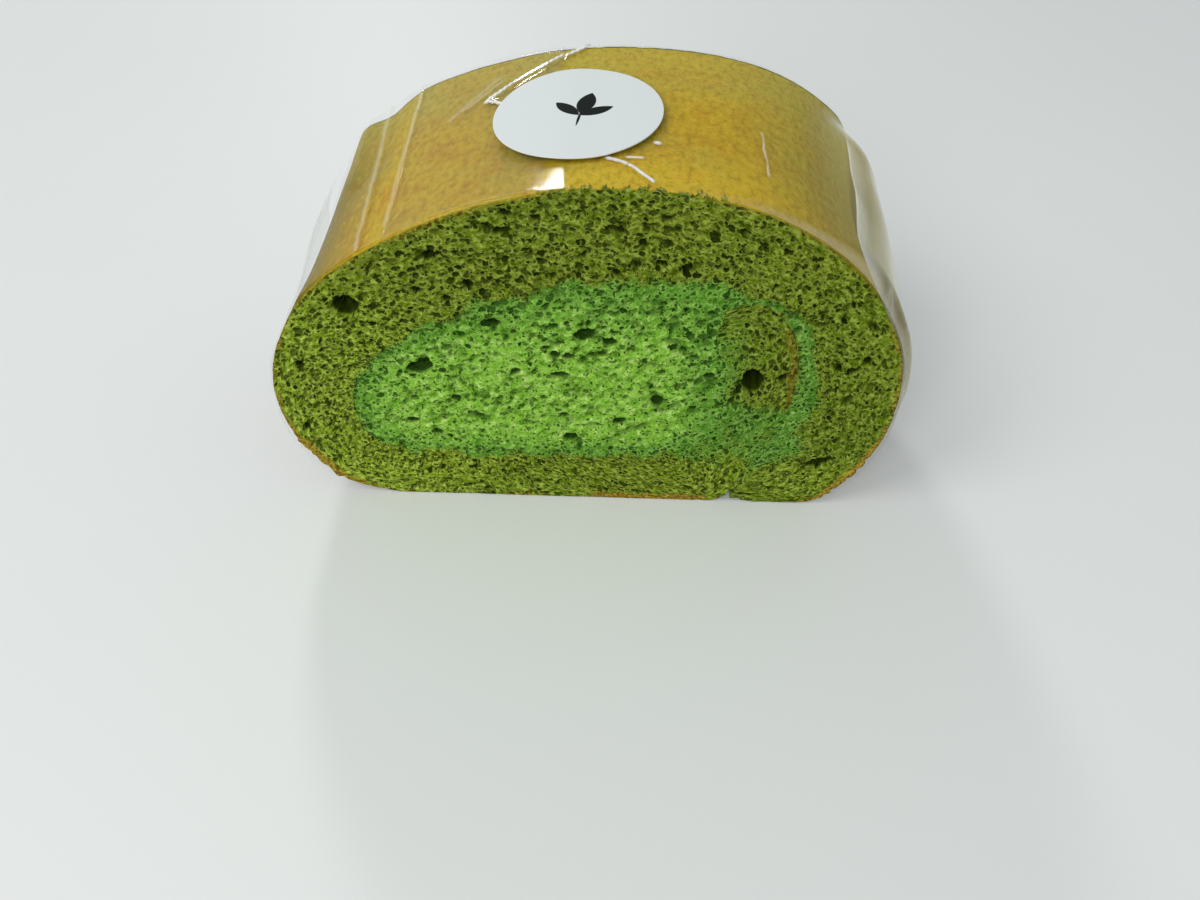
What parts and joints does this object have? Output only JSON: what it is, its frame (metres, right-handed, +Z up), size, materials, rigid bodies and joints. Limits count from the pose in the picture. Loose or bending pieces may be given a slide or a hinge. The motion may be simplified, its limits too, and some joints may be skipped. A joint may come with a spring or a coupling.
{
  "type": "swiss roll cake",
  "caption": "Slice of a green tea cream roll lying on its side: rolled sponge with a curled start, green cream filling, a clear film band round the crust and a round paper seal.",
  "frame": {"origin": "middle of the whole object's box, at the flat underside it rests on", "axes": "+Z up, +X across the slice from the filling's rounded end towards the curled start, -Y out of the front cut face, Y along the roll"},
  "size_m": [0.1016, 0.043, 0.063],
  "materials": {
    "crumb": "open green sponge crumb with a golden crust",
    "filling": "airy green cream, dull",
    "clear_film": "clear stiff glossy film",
    "paper": "coated white paper"
  },
  "bodies": {
    "root": {"sponge": "crumb", "cream": "filling", "film": "clear_film", "seal": "paper"}
  },
  "joints": []
}
